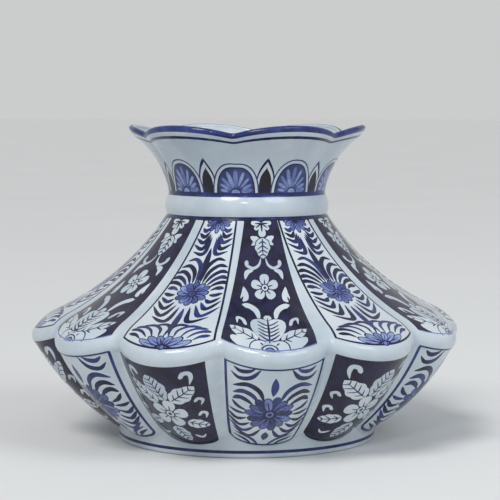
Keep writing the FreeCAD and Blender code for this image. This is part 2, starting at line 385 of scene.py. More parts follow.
def petal(centre, bearing, near, far, width, steps=14):
    """A rounded petal that is fuller towards its far end."""
    turn = np.linspace(0, 2 * np.pi, steps, endpoint=False)
    along = near + (far - near) * (1 - np.cos(turn)) / 2
    full = 0.72 + 0.28 * (1 - np.cos(turn)) / 2
    across = width / 2 * np.sign(np.sin(turn)) * np.abs(np.sin(turn)) ** 0.85 * full
    out = direction(bearing)
    side = np.array([-out[1], out[0]])
    return np.array(centre) + along[:, None] * out + across[:, None] * side


def disc(centre, radius, steps=14, squash=1.0):
    turn = np.linspace(0, 2 * np.pi, steps, endpoint=False)
    return np.array(centre) + radius * np.column_stack([np.cos(turn), np.sin(turn) * squash])


def leaf_outline(base, tip, width, grow=0.0, blunt=0.75):
    """A leaf with a waved edge, broad near its base and pointed at its tip."""
    base, tip = np.array(base, float), np.array(tip, float)
    run = tip - base
    length = np.linalg.norm(run)
    run /= length
    side = np.array([-run[1], run[0]])
    share = np.linspace(0, 1, 19)
    along = -grow + (length + 2 * grow) * share
    waves = 1 - 0.13 * np.abs(np.cos(np.pi * 3 * share)) ** 3
    half = (width / 2 + grow) * np.sin(np.pi * share**blunt) ** 0.7 * waves
    middle = base + along[:, None] * run
    edge = half[:, None] * side
    return np.vstack([middle + edge, (middle - edge)[-2:0:-1]])


class Design:
    """The shapes painted on one panel of a wall, bottom layer first."""

    def __init__(self, wall):
        self.length = wall.length
        self.shapes = []

    def add(self, outline, paint):
        outline = np.array(outline, float)
        outline[:, 1] = np.clip(outline[:, 1], EDGE_GAP, self.length - EDGE_GAP)
        self.shapes.append((outline, paint))

    def stripe(self, start, end, paint):
        """A stripe across the whole panel, which joins its neighbours' into a ring."""
        side = self.length
        corners = [(-side, start), (side, start), (side, end), (-side, end)]
        self.shapes.append((np.array(corners, float), paint))

    def both(self, outline, paint):
        """The shape and its mirror image across the panel."""
        self.add(outline, paint)
        self.add(np.array(outline) * (-1, 1), paint)

    def stroke(self, paint, width, line, **taper):
        self.add(brush(line, width, **taper), paint)

    def strokes(self, paint, width, lines, **taper):
        """Brush strokes on both sides of the panel."""
        for line in lines:
            self.both(brush(line, width, **taper), paint)

    def leaf(self, base, tip, width, pairs=4, blunt=0.75):
        """A white leaf with a dark edge, a midrib and side veins."""
        for grow, paint in ((0.55, GROUND), (0.0, GLAZE)):
            self.add(leaf_outline(base, tip, width, grow, blunt), paint)
        base, tip = np.array(base, float), np.array(tip, float)
        run = tip - base
        side = np.array([-run[1], run[0]]) / np.linalg.norm(run)
        self.stroke(INK, 0.9, [base, base + run * 0.88], fat=0.2, end=0.3)
        for index in range(pairs):
            share = 0.16 + 0.62 * index / max(pairs - 1, 1)
            half = width / 2 * math.sin(math.pi * share**blunt) ** 0.8
            for hand in (1, -1):
                start = base + run * share
                end = start + run / np.linalg.norm(run) * half * 0.6 + side * half * 0.74 * hand
                self.stroke(INK, 0.8, [start, end], fat=0.3, start=0.6, end=0.3)

    def blossom(self, centre, radius, turn=0.0, width=0.78, stretch=1.0):
        """A white flower of five broad petals round a ringed centre."""
        shapes = []
        bearings = [turn + 72 * index for index in range(5)]
        for bearing in bearings:
            shapes.append((petal((0, 0), bearing, radius * 0.24, radius, radius * width), GLAZE))
        for bearing in bearings:
            line = [direction(bearing) * radius * share for share in (0.26, 0.6)]
            shapes.append((brush(line, 0.8, fat=0.2, start=0.9, end=0.3), INK))
        for share, paint in ((0.29, GROUND), (0.22, GLAZE), (0.11, INK)):
            shapes.append((disc((0, 0), radius * share), paint))
        for outline, paint in shapes:
            self.add(np.array(centre) + outline * (1, stretch), paint)

    def ray_petal(self, centre, bearing, length, width, fill, squash=1.0):
        """A long petal in a wash, with a dark edge and a dark line along it."""
        centre = np.array(centre, float)
        vein = [direction(bearing) * length * share for share in (0.2, 0.74)]
        shapes = [
            (petal((0, 0), bearing, length * 0.12, length + 0.4, width), INK),
            (petal((0, 0), bearing, length * 0.24, length - 0.35, width - 1.3), fill),
            (brush(vein, 0.75, fat=0.2, start=0.9, end=0.25), INK),
        ]
        for outline, paint in shapes:
            self.add(centre + outline * (1, squash), paint)

    def daisy(self, centre, radius, petals, first=0.0, fills=(WASH, PALE, WASH), squash=1.0):
        """A flower of many long petals round a ringed centre."""
        width = 2 * radius * math.sin(math.pi / petals) * 1.02
        for index in range(petals):
            bearing = first + 360 / petals * index
            length = radius * (1 - 0.07 * (index % 2))
            self.ray_petal(centre, bearing, length, width, fills[index % len(fills)], squash)
        for size, paint in ((0.27, INK), (0.17, WASH), (0.09, INK)):
            self.add(disc(centre, radius * size, squash=squash), paint)

    def fan(self, centre, short, long, widths, bearings, fill, squash=1.0):
        """Petals spread over a half circle, longer towards the sides. They are given from the
        sides inwards, and each is drawn on both sides."""
        for bearing, width in zip(bearings, widths):
            length = short + (long - short) * (bearing / 90) ** 2
            for hand in (-1, 1) if bearing else (1,):
                self.ray_petal(centre, bearing * hand, length, width, fill, squash)


def panel_sides(wall, inset, top, bottom, steps=16, rounding=0.0):
    """The outline of a panel, kept clear of the lobe's valleys by an inset at each height.
    rounding is the radius of its lower corners."""
    down = np.linspace(top, bottom, steps)
    half = half_width(wall, LOBES, down) - inset(down / wall.length)
    if rounding:
        past = np.clip((down - bottom) / rounding + 1, 0, 1)
        half = half - rounding * (1 - np.sqrt(1 - past**2))
    right = np.column_stack([half, down])
    left = np.column_stack([-half, down])[::-1]
    return np.vstack([right, left])


def half_width(wall, panels, down):
    """Half the width of one panel of a ring, at distances down a lobe."""
    return math.pi / panels * wall.lobe_radius(np.asarray(down) / wall.length)


def upper_rib(share):
    """Half the width of the bare rib between two panels of the upper body."""
    return 1.1 + 3.2 * share


def lower_rib(share):
    """Half the width of the bare rib between two panels of the lower body."""
    return 3.4 - 2.0 * share


def framed_panel(art, wall, rib, top, bottom, lines, steps=16, rounding=0.0):
    """A white panel with a dark line round it, given by its width at the top, sides and bottom."""
    top_line, line, base_line = lines
    art.add(panel_sides(wall, rib, top, bottom, steps, rounding), INK)
    top, bottom = top + top_line, bottom - base_line
    inner = panel_sides(
        wall, lambda share: rib(share) + line, top, bottom, steps, max(rounding - line, 0)
    )
    art.add(inner, GLAZE)


def upper_flowers():
    """White ground: a hanging half flower, a full flower and a rising half flower, with sprays."""
    art = Design(CONE)
    bottom = CONE.length - EDGE_FADE

    def rib(share):
        return upper_rib(share) + 0.7 * share

    framed_panel(art, CONE, rib, PANEL_TOP, bottom, (0.8, 1.3, 1.3))

    hanging = [
        [(-4.6, 5.6), (-6.8, 7.9), (-9.2, 6.2)],
        [(-3.8, 8.0), (-6.6, 11.8), (-10.4, 9.6)],
        [(-2.9, 9.6), (-6.0, 15.6), (-11.2, 13.4)],
        [(-2.2, 10.8), (-5.4, 19.8), (-11.8, 17.6)],
        [(-1.5, 12.0), (-3.6, 23.0), (-10.6, 22.6)],
    ]
    art.strokes(INK, 2.6, hanging, start=0.12, end=0.15)
    art.fan((0, 0.4), 8.6, 7.6, (3.4, 3.6, 3.8, 3.8), (82, 62, 32, 0), WASH, squash=-1)
    art.add(disc((0, 1.2), 1.6), INK)
    art.stroke(INK, 3.6, [(0, 44), (0.2, 31), (0, 19.0)], end=0.05)

    centre = (0, 53.0)
    rising = [
        [(-1.3, 44.4), (-1.8, 33.0), (-6.2, 27.4), (-11.4, 29.4)],
        [(-2.7, 44.8), (-4.4, 36.4), (-8.8, 32.4), (-14.0, 34.8)],
        [(-4.2, 45.6), (-6.8, 39.8), (-11.2, 37.2), (-15.6, 39.8)],
        [(-5.8, 47.0), (-9.0, 43.0), (-12.8, 41.8), (-16.4, 44.4)],
        [(-7.4, 48.8), (-10.8, 46.4), (-14.6, 46.4), (-17.0, 48.6)],
        [(-9.2, 51.4), (-12.6, 50.2), (-16.8, 52.2)],
    ]
    art.strokes(INK, 2.9, rising, start=0.12, end=0.12)
    falling = [
        [(-9.8, 54.8), (-13.0, 56.0), (-17.4, 56.2)],
        [(-8.8, 58.0), (-12.2, 61.4), (-17.4, 59.4)],
        [(-7.4, 60.6), (-12.0, 67.2), (-18.6, 62.6)],
        [(-5.4, 62.8), (-10.8, 73.2), (-19.6, 68.0)],
        [(-3.0, 64.2), (-6.2, 77.4), (-16.2, 75.6)],
    ]
    art.strokes(INK, 3.0, falling, fat=0.62, start=0.12, end=0.12)
    art.daisy(centre, 9.6, petals=12)
    art.stroke(INK, 3.6, [(0, 65.5), (0.2, 76), (0, 86)], end=0.05)

    spread = [
        [(-1.4, 91.0), (-0.4, 84.0), (-3.6, 80.4), (-9.4, 82.2)],
        [(-4.2, 91.2), (-5.0, 85.6), (-9.4, 82.6), (-15.8, 84.8)],
        [(-7.8, 91.6), (-10.4, 87.3), (-14.8, 85.8), (-20.4, 88.4)],
        [(-11.2, 92.8), (-14.8, 90.1), (-19.0, 89.8), (-23.0, 92.0)],
        [(-14.6, 95.0), (-18.4, 93.5), (-23.2, 95.0)],
    ]
    art.strokes(INK, 2.4, spread, fat=0.62, end=0.3)
    art.fan((0, bottom - 1.6), 7.8, 16.4, (5.4, 5.8, 5.2), (80, 56, 22), PALE, squash=0.92)
    art.add(disc((0, bottom - 1.4), 1.9), INK)
    art.add(disc((0, bottom - 1.4), 1.1), PALE)
    art.stripe(0, 0.9, INK)
    return art


def upper_leaves():
    """Dark ground with white leaves, flowers and scrolls."""
    art = Design(CONE)
    bottom = CONE.length - EDGE_FADE
    art.add(panel_sides(CONE, upper_rib, PANEL_TOP, bottom), GROUND)

    for bearing, reach_out in ((-88, 6.8), (88, 6.8), (-132, 6.2), (132, 6.2)):
        art.add(petal((0, 2.4), bearing, 0.4, reach_out, 3.6), GLAZE)
    art.add(petal((0, 4.8), 180, 0.0, 6.6, 5.4), GLAZE)
    art.stroke(GROUND, 1.3, [(0, 1.2), (0, 7.6)], fat=0.3)
    art.strokes(GROUND, 1.0, [[(-0.3, 2.6), (-3.6, 5.2)], [(-0.3, 2.4), (-4.2, 2.6)]], fat=0.3)

    art.both(leaf_outline((-2.0, 14.2), (-7.4, 11.2), 4.4), GLAZE)
    art.both(leaf_outline((-2.6, 13.6), (-6.8, 17.2), 2.8), GLAZE)
    art.leaf((0, 11.8), (0, 26.0), 9.6, blunt=0.85)
    scrolls = [[(-1.4, 25.8), (-2.8, 30.6), (-6.2, 33.2), (-9.8, 31.6), (-9.8, 28.8)]]
    art.strokes(GLAZE, 2.3, scrolls, fat=0.92, start=0.15, end=0.85)
    tails = [[(-6.4, 34.6), (-9.8, 36.8), (-11.2, 42.4)]]
    art.strokes(GLAZE, 2.8, tails, fat=0.35, start=0.3, end=0.05)

    art.blossom((0, 47.4), 8.0, stretch=1.3)
    trumpets = [[(-12.2, 48.2), (-11.6, 54.0), (-12.4, 59.0)]]
    art.strokes(GLAZE, 4.6, trumpets, fat=0.82, start=0.03, end=0.7)
    art.strokes(GROUND, 1.0, [[(-12.8, 56.2), (-14.0, 60.6)]], fat=0.5)
    horns = [[(-12.2, 63.2), (-8.8, 63.8), (-5.6, 67.6), (-4.4, 75.6)]]
    art.strokes(GLAZE, 4.2, horns, fat=0.1, start=0.75, end=0.05)
    curls = [[(-12.4, 80.4), (-13.8, 76.2), (-16.8, 75.8), (-17.2, 80.6)]]
    art.strokes(GLAZE, 2.3, curls, fat=0.3, start=0.8, end=0.12)

    art.leaf((-6.4, 93.6), (-21.8, 84.6), 11.0, pairs=3)
    art.leaf((6.4, 93.6), (21.8, 86.8), 10.4, pairs=3)
    art.add(petal((0, 76.0), 0, -1.0, 5.6, 5.0), GLAZE)
    lobes = [petal((hand * 0.9, 94.0), hand * 13, 0.0, 20.6, 13.4, steps=24) for hand in (-1, 1)]
    for outline in lobes:
        art.add(outline * (1.06, 1) + (0, -0.5), GROUND)
    for outline in lobes:
        art.add(outline, GLAZE)
    art.stroke(INK, 1.3, [(0, 73.0), (0, 94)], start=0.3)
    for level in (77.6, 81.0, 84.4, 87.6, 90.4):
        rib = [(0, level + 2.4), (-2.6, level + 1.0), (-5.6, level - 1.8)]
        art.strokes(INK, 1.15, [rib], fat=0.2)

    for hand in (-1, 1):
        art.add(petal((hand * 8.6, bottom - 0.4), hand * 68, 0.0, 14.2, 7.0), GLAZE)
    scallops = [(hand * 5.2, bottom - 1.0) for hand in (-1, 0, 1)]
    for grow, paint in ((0.7, INK), (0.0, GLAZE)):
        for place in scallops:
            art.add(disc(place, 5.4 + grow, steps=20), paint)
    for turn in (-46, 0, 46):
        start = np.array((0, bottom)) + direction(turn) * 4.8
        art.stroke(INK, 0.9, [start, start + direction(turn) * 2.2])
    for radius, paint in ((4.8, INK), (3.9, GLAZE), (2.7, INK), (1.8, PALE)):
        art.add(disc((0, bottom - 0.2), radius, steps=18, squash=0.8), paint)
    art.add(panel_sides(CONE, upper_rib, bottom - 0.8, bottom, steps=3), WASH)
    art.stripe(0, 0.9, INK)
    return art


def lower_flowers():
    """White ground: one large flower with sprays, and crescents in the corners."""
    art = Design(BOWL)
    bottom = BOWL.length - 2.0
    framed_panel(art, BOWL, lower_rib, EDGE_FADE, bottom, (1.3, 1.6, 2.3), 80, rounding=3.2)

    crescents = [
        [(-24.2, 8.2), (-19.4, 11.4), (-13.0, 9.2), (-8.4, 2.4)],
        [(-23.0, 3.6), (-19.2, 5.8), (-14.8, 4.8), (-11.4, 2.2)],
    ]
    art.strokes(INK, 3.1, crescents, fat=0.45, start=0.08, end=0.15)
    art.stroke(INK, 4.2, [(0, 8.0), (0.3, 15.0), (0, 22.4)], fat=0.5, start=0.05, end=0.05)

    rising = [
        [(-4.2, 27.4), (-7.8, 18.8), (-14.4, 15.2), (-22.0, 19.0)],
        [(-7.0, 28.6), (-11.0, 23.2), (-16.4, 21.4), (-21.4, 25.0)],
        [(-9.8, 31.0), (-13.8, 28.0), (-17.8, 27.2), (-21.0, 30.4)],
    ]
    art.strokes(INK, 3.5, rising, fat=0.62, start=0.15, end=0.15)
    middle = [
        [(-12.6, 37.0), (-17.8, 35.4), (-21.2, 31.8)],
        [(-12.6, 39.8), (-17.8, 40.8), (-22.2, 40.0)],
    ]
    art.strokes(INK, 2.7, middle, fat=0.55, start=0.15, end=0.15)
    falling = [
        [(-12.0, 43.6), (-17.2, 47.2), (-22.0, 44.0)],
        [(-9.6, 47.6), (-15.0, 52.6), (-21.4, 48.4)],
        [(-6.8, 50.8), (-12.6, 57.4), (-20.4, 52.8)],
        [(-3.0, 52.4), (-8.4, 61.6), (-17.8, 57.6)],
    ]
    art.strokes(INK, 2.9, falling, start=0.12, end=0.12)
    art.daisy((0, 38.2), 13.4, petals=14, first=13, fills=(DEEP, WASH, WASH), squash=1.16)
    art.stroke(INK, 4.0, [(0, 55.6), (0.2, 60.0), (0, 65.0)], fat=0.5, start=0.05, end=0.05)
    low = [
        [(-2.6, bottom - 1.6), (-7.6, bottom - 8.2), (-16.4, bottom - 10.6)],
        [(-6.8, bottom - 1.8), (-10.4, bottom - 5.4), (-16.6, bottom - 7.2)],
    ]
    art.strokes(INK, 2.5, low, fat=0.5, start=0.3, end=0.12)
    return art


def lower_leaves():
    """Dark ground: a white flower among veined leaves, with hooked curls down the sides."""
    art = Design(BOWL)
    bottom = BOWL.length - 1.4
    art.add(panel_sides(BOWL, lower_rib, EDGE_FADE, bottom, steps=80, rounding=2.6), GROUND)

    hooks = [[(-13.8, 9.8), (-15.8, 7.0), (-19.0, 7.2), (-19.4, 11.0), (-17.6, 15.8)]]
    art.strokes(GLAZE, 2.9, hooks, fat=0.35, start=0.8, end=0.04)
    art.leaf((0.6, 28.0), (-7.4, 8.6), 14.6, pairs=5, blunt=0.95)
    art.leaf((3.6, 28.4), (19.6, 17.6), 12.4, blunt=0.8)
    art.leaf((-4.4, 30.0), (-20.6, 16.4), 10.6)
    art.blossom((0, 39.4), 10.8, turn=12, width=0.8, stretch=1.1)
    art.leaf((-9.0, 46.4), (-18.6, 54.4), 8.0, pairs=3)
    art.leaf((8.4, 46.4), (19.4, 53.4), 8.8, pairs=3)
    art.leaf((-1.0, 51.4), (3.6, 67.4), 10.0, blunt=0.8)
    side_curls = [
        [(-17.4, 29.6), (-19.4, 27.8), (-21.6, 29.8), (-19.8, 33.6)],
        [(-16.6, 41.8), (-18.6, 39.8), (-20.6, 41.8), (-19.4, 45.8)],
    ]
    art.strokes(GLAZE, 2.1, side_curls, fat=0.35, start=0.75, end=0.06)
    art.strokes(GLAZE, 2.0, [[(-8.0, 60.4), (-11.8, 63.6), (-14.4, 61.0)]], fat=0.4, end=0.1)
    return art


NECK_PANELS = 9


def neck_rib(share):
    """Half the width at each side of a neck panel that takes up a slide of its arch."""
    return np.full(np.shape(share), 2.0)


def neck_band():
    """An arch with a fan of petals in it, and half a pointed leaf at each side."""
    art = Design(NECK_WALLS)
    foot = NECK_WALLS.length
    level = foot - 1.3

    tip, *sides = smooth_line([(0, -21.8), (1.4, -19.2), (3.8, -13.8), (4.9, -9.0), (5.2, 0)])
    for inset, drop, paint in ((0, 0, INK), (0.8, 1.7, GLAZE), (1.8, 4.2, GROUND)):
        line = [tip + (-0.5, drop)]
        line += [(x - inset, y + drop * y / tip[1]) for x, y in sides if x > inset + 0.1]
        line = np.array(line) + (0, level)
        inner = half_width(NECK_WALLS, NECK_PANELS, line[:, 1]) - line[:, 0]
        outline = np.vstack([np.column_stack([inner, line[:, 1]]), (inner[-1] + 8, level)])
        outline = np.vstack([outline, (inner[-1] + 8, line[0, 1])])
        art.both(outline, paint)

    def arch(radius, height):
        turn = np.linspace(0, np.pi, 33)
        across = radius * np.sign(np.cos(turn)) * np.abs(np.cos(turn)) ** 0.84
        return np.column_stack([across, level - height * np.sin(turn) ** 0.84])

    for radius, height, paint in ((13.0, 20.4, INK), (12.2, 19.5, GLAZE), (10.8, 17.7, INK)):
        art.add(arch(radius, height), paint)
    art.add(arch(10.0, 16.8), DEEP)
    for index in range(9):
        bearing = -78 + 19.5 * index
        across, up = np.abs(direction(bearing)) / (10.0, 16.8)
        length = 0.92 * (across**2.4 + up**2.4) ** (-1 / 2.4)
        art.add(petal((0, level), bearing, 3.0, length, 3.0), WASH)
        art.add(petal((0, level), bearing, 4.6, length - 0.7, 1.9), PALE)
    art.add(disc((0, level), 3.4, steps=18), INK)
    art.add(disc((0, level), 2.4, steps=18), PALE)
    art.stripe(level, foot, EDGE)
    art.stripe(0, 0.9, INK)
    return art


# ---------------------------------------------------------------------------------------------
# Meshes


GRID = 1.6  # spacing of the points that carry a painted surface's curve
CLEARANCE = GRID * 0.3  # room round the drawn points that the grid leaves free
BLOCK = 500  # grid points whose distances are measured at a time
EDGE_STEPS = 24  # edges along a panel's top and bottom
NEAR_SIDE = 0.02  # points this near to a panel's side are on it
RIB_USE = 0.9  # share of a rib that a slipped panel may take up
TRIANGLES_INSIDE = 1  # what the triangulation returns
MERGE = 1e-5  # points nearer than this are one to the triangulation
WELD = 0.002
SHARP_EDGE = math.radians(40)
EVEN_TONE = 0.5


class Shell:
    """Collects the faces of one piece, in millimetres, and welds them into a mesh."""

    def __init__(self):
        self.points = []
        self.faces = []
        self.paints = []
        self.tones = []
        self.normals = []
        self.count = 0

    def add(self, points, faces, paints, tones=None, normals=None):
        points = np.asarray(points, float)
        faces = np.asarray(faces, int)
        self.points.append(points)
        self.faces.append(faces + self.count)
        self.paints.append(np.broadcast_to(paints, len(faces)))
        self.tones.append(np.full(len(faces), EVEN_TONE) if tones is None else tones)
        self.normals.append(np.zeros(points.shape) if normals is None else normals)
        self.count += len(points)

    def rows(self, rows, paints=GLAZE, normals=None, closed=False):
        """Bands of faces between rings of points, each row a ring with as many points as the rest.
        closed joins the last row to the first."""
        size, total = len(rows[0]), len(rows)
        start = np.arange(size)
        after = (start + 1) % size
        triangles, colours = [], []
        bands = total if closed else total - 1
        paints = np.broadcast_to(paints, bands)
        for index in range(bands):
            a, b = index * size, (index + 1) % total * size
            quads = np.column_stack([a + start, b + start, b + after, a + after])
            triangles += [quads[:, [0, 1, 2]], quads[:, [0, 2, 3]]]
            colours += [np.full(size * 2, paints[index])]
        flat = None if normals is None else np.vstack(normals)
        self.add(np.vstack(rows), np.vstack(triangles), np.concatenate(colours), None, flat)

    def mesh(self, name):
        """One welded mesh, without faces that have closed up to nothing."""
        points, faces = np.vstack(self.points), np.vstack(self.faces)
        paints, tones = np.concatenate(self.paints), np.concatenate(self.tones)
        normals = np.vstack(self.normals)[faces]
        keys = np.round(points / WELD).astype(np.int64)
        _, first, merged = np.unique(keys, axis=0, return_index=True, return_inverse=True)
        faces = merged.reshape(-1)[faces]
        whole = (faces != np.roll(faces, 1, axis=1)).all(axis=1)
        faces, paints, tones, normals = faces[whole], paints[whole], tones[whole], normals[whole]
        mesh = bpy.data.meshes.new(name)
        mesh.from_pydata(points[first] * MM, [], faces.tolist())
        mesh.polygons.foreach_set("material_index", paints.astype(np.int32))
        mesh.polygons.foreach_set("use_smooth", np.ones(len(faces), bool))
        tone = mesh.attributes.new("tone", "FLOAT", "FACE")
        tone.data.foreach_set("value", tones.astype(np.float32))
        mesh.set_sharp_from_angle(angle=SHARP_EDGE)
        mesh.normals_split_custom_set(normals.reshape(-1, 3).tolist())
        return mesh


# How a painted panel strays from its even place, in millimetres to the right or down: its left and
# right edges, each at the top and the bottom, and its own top.
Slip = namedtuple("Slip", "left right sink")


class Sheet:
    """A design cut into triangles, ready to be laid on any panel of its ring."""

    def __init__(self, art, wall, panels, rib, seed):
        self.wall = wall
        self.panels = panels
        self.rib = rib
        border = self.border()
        outlines = [border] + [self.with_short_edges(outline) for outline, _ in art.shapes]
        points = np.vstack(outlines)
        edges, start = [], 0
        for outline in outlines:
            index = start + np.arange(len(outline))
            edges.append(np.column_stack([index, np.roll(index, -1)]))
            start += len(outline)
        points = np.vstack([points, self.filling(points)]).tolist()
        edges = np.vstack(edges).tolist()
        result = delaunay_2d_cdt(points, edges, [], TRIANGLES_INSIDE, MERGE, False)

        flat = np.array([tuple(p) for p in result[0]])
        side = self.half(flat[:, 1])
        on_side = np.abs(np.abs(flat[:, 0]) - side) < NEAR_SIDE
        flat[on_side, 0] = np.copysign(side, flat[:, 0])[on_side]
        faces = np.array([tuple(f) for f in result[2]])
        middle = flat[faces].mean(axis=1)
        inside = covers(border, middle)
        faces, middle = faces[inside], middle[inside]
        a, b, c = (flat[faces[:, i]] for i in range(3))
        area = (b[:, 0] - a[:, 0]) * (c[:, 1] - a[:, 1]) - (b[:, 1] - a[:, 1]) * (c[:, 0] - a[:, 0])
        faces[area > 0] = faces[area > 0][:, ::-1]

        self.flat = flat
        self.faces = faces
        self.paints = np.full(len(faces), GLAZE, np.int32)
        self.tones = np.full(len(faces), EVEN_TONE)
        dice = random.Random(seed)
        for outline, paint in art.shapes:
            covered = covers(outline, middle)
            self.paints[covered] = paint
            self.tones[covered] = dice.random()

    def half(self, down):
        return half_width(self.wall, self.panels, down)

    def border(self):
        """The panel's own outline, with the points that it shares with its neighbours."""
        length = self.wall.length
        down = np.linspace(0, length, max(int(length / GRID), 4) + 1)
        half = self.half(down)
        across = np.linspace(-1, 1, EDGE_STEPS + 1)
        top = np.column_stack([across * half[0], np.zeros(len(across))])
        bottom = np.column_stack([across[::-1] * half[-1], np.full(len(across), length)])
        right = np.column_stack([half, down])[1:-1]
        left = np.column_stack([-half, down])[::-1][1:-1]
        return np.vstack([top, right, bottom, left])

    def with_short_edges(self, outline):
        """The outline with points added, so that its long straight edges follow the curved wall.
        Edges along the panel's own border get none, because the border has points enough."""
        side = self.half(outline[:, 1])
        x, y = outline[:, 0], outline[:, 1]
        at_sides = [x < NEAR_SIDE - side, x > side - NEAR_SIDE]
        borders = np.column_stack([y <= 0, y >= self.wall.length, *at_sides])
        along = (borders & np.roll(borders, -1, axis=0)).any(axis=1)
        pieces = []
        for start, end, fixed in zip(outline, np.roll(outline, -1, axis=0), along):
            steps = 1 if fixed else max(math.ceil(math.dist(start, end) / GRID), 1)
            pieces.append(start + (end - start) * (np.arange(steps) / steps)[:, None])
        return np.vstack(pieces)

    def filling(self, taken):
        """A staggered grid of points over the panel, away from the drawn points."""
        places = []
        row_step = GRID * math.sqrt(3) / 2
        for row in range(1, int(self.wall.length / row_step)):
            down = row * row_step
            half = float(self.half(np.array([down]))[0]) - GRID / 2
            shift = GRID / 2 * (row % 2)
            places += [(x + shift, down) for x in np.arange(-half, half - shift, GRID)]
        places = np.array([p for p in places if p[1] < self.wall.length - GRID / 2])
        clear = []
        for block in np.array_split(places, len(places) // BLOCK + 1):
            gap = np.hypot(*(block[:, None, :] - taken[None, :, :]).transpose(2, 0, 1))
            clear.append(gap.min(axis=1) > CLEARANCE)
        return places[np.concatenate(clear)]

    def lay(self, shell, centre, slip, ribs, mirror=False):
        """Adds the sheet to a piece, on the panel centred at an angle. ribs says how far the tops
        of the ribs beside it slide to the right."""
        flat = self.flat * ((-1, 1) if mirror else (1, 1))
        faces = self.faces[:, ::-1] if mirror else self.faces
        length = self.wall.length
        share = np.clip(flat[:, 1] / length, 0, 1)
        half = self.half(flat[:, 1])
        x = np.clip(flat[:, 0] / half, -1, 1)
        fade = np.clip(np.minimum(flat[:, 1], length - flat[:, 1]) / EDGE_FADE, 0, 1)
        room = self.rib(share) / half
        left, right = ((a + (b - a) * share) / half for a, b in (slip.left, slip.right))
        left = np.maximum(left, -RIB_USE * room) * fade
        right = np.minimum(right, RIB_USE * room) * fade
        edge = 1 - room
        inner = left - edge + (x + edge) / (2 * edge) * (2 * edge + right - left)
        outer_left = (x + 1) * (room + left) / room - 1
        outer_right = 1 - (1 - x) * (room - right) / room
        clear = np.clip((1 - np.abs(x)) / room, 0, 1)
        x = np.where(x < -edge, outer_left, np.where(x > edge, outer_right, inner))
        slide = ribs[0] * (1 - x) / 2 + ribs[1] * (1 + x) / 2
        x = x + slide / half * (1 - share) ** 1.5 * fade
        share = share + slip.sink / length * (1 - share) ** 3 * fade * clear
        angle = centre + x * 180 / self.panels
        normals = self.wall.normal(angle, share)
        shell.add(self.wall.place(angle, share), faces, self.paints, self.tones, normals)


def covers(outline, points):
    """Which points lie inside an outline, by how many times it winds round them."""
    low, high = outline.min(axis=0), outline.max(axis=0)
    near = np.where(((points >= low) & (points <= high)).all(axis=1))[0]
    result = np.zeros(len(points), bool)
    if len(near) == 0:
        return result
    x, y = points[near, 0][:, None], points[near, 1][:, None]
    ax, ay = outline[:, 0], outline[:, 1]
    bx, by = np.roll(ax, -1), np.roll(ay, -1)
    left = (bx - ax) * (y - ay) - (x - ax) * (by - ay)
    winding = ((ay <= y) & (by > y) & (left > 0)).sum(axis=1)
    winding = winding - ((ay > y) & (by <= y) & (left < 0)).sum(axis=1)
    result[near[winding != 0]] = True
    return result


def ring_angles(panels, first_centre):
    """The angles of the points along the edges of a ring of painted panels."""
    across = np.linspace(-1, 1, EDGE_STEPS + 1)[:-1]
    centres = first_centre + 360 / panels * np.arange(panels)
    return (centres[:, None] + across * 180 / panels).reshape(-1)


def edge_row(wall, angle, share):
    return wall.place(angle, np.full(angle.shape, float(share)))


def profile_row(angle, radius, height):
    return around(section_points(np.broadcast_to(radius, angle.shape), height), angle)


# ---------------------------------------------------------------------------------------------
# Materials


class Graph:
    """The nodes of a material or a world. Their inputs take values or other nodes' outputs."""

    def __init__(self, owner):
        owner.use_nodes = True
        self.nodes = owner.node_tree.nodes
        self.links = owner.node_tree.links

    def put(self, socket, value):
        if isinstance(value, bpy.types.NodeSocket):
            self.links.new(value, socket)
        else:
            socket.default_value = value

    def fill(self, node, **inputs):
        for name, value in inputs.items():
            self.put(node.inputs[name.replace("_", " ")], value)
        return node

    def new(self, kind, **inputs):
        return self.fill(self.nodes.new("ShaderNode" + kind), **inputs)

    def noise(self, scale, detail=2.0):
        """Noise over the piece, with its scale in cycles per metre."""
        place = self.new("TexCoord").outputs["Object"]
        return self.new("TexNoise", Vector=place, Scale=scale, Detail=detail).outputs["Fac"]

    def maths(self, operation, *values):
        node = self.new("Math")
        node.operation = operation
        for socket, value in zip(node.inputs, values):
            self.put(socket, value)
        return node.outputs[0]

    def ramp(self, value, stops):
        """Colours at given values."""
        node = self.new("ValToRGB", Fac=value)
        elements = node.color_ramp.elements
        while len(elements) < len(stops):
            elements.new(0.5)
        for element, (position, colour) in zip(elements, stops):
            element.position = position
            element.color = (*linear(*colour), 1)
        return node.outputs["Color"]

    def bump(self, height, strength, distance):
        node = self.new("Bump", Height=height, Strength=strength, Distance=distance)
        return node.outputs["Normal"]


def new_material(name):
    material = bpy.data.materials.new(name)
    graph = Graph(material)
    return material, graph, graph.nodes["Principled BSDF"]


def linear(red, green, blue):
    """A colour as it looks on a screen, 0 to 255, as the shader wants it."""
    shares = [value / 255 for value in (red, green, blue)]
    return tuple(c / 12.92 if c < 0.04 else ((c + 0.055) / 1.055) ** 2.4 for c in shares)


TONE_SPREAD = 0.3  # how far apart whole strokes are, against the clouds within a stroke
MATT, GLOSS = 0.85, 0.07


